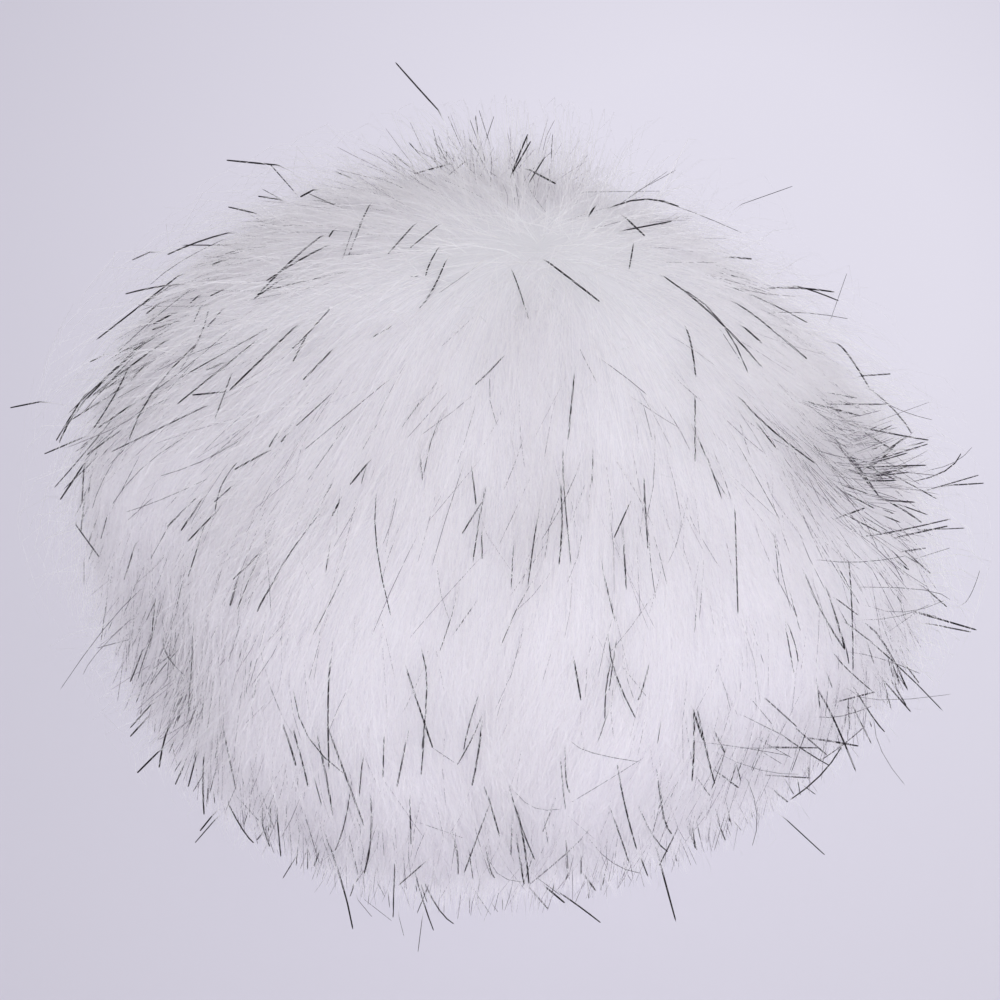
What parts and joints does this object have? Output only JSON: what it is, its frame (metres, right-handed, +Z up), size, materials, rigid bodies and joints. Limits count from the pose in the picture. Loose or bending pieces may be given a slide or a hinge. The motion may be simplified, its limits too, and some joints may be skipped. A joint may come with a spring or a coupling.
{
  "type": "pom pom",
  "caption": "Round long-pile white faux-fur pom pom with sparse dark-tipped guard hairs, combed away from a whorl at its crown and resting on its flattened underside.",
  "frame": {"origin": "centre of the flattened underside, on the surface the pom pom rests on", "axes": "+Z up to the crown, +X to the side the whorl leans to and the fullest side tuft points to, -Y to the side the picture shows"},
  "size_m": [0.1286, 0.1239, 0.094],
  "materials": {
    "white_fur": "long-pile faux fur, white with sparse dark-tipped guard hairs"
  },
  "bodies": {
    "root": {"fur_ball": "white_fur"}
  },
  "joints": []
}
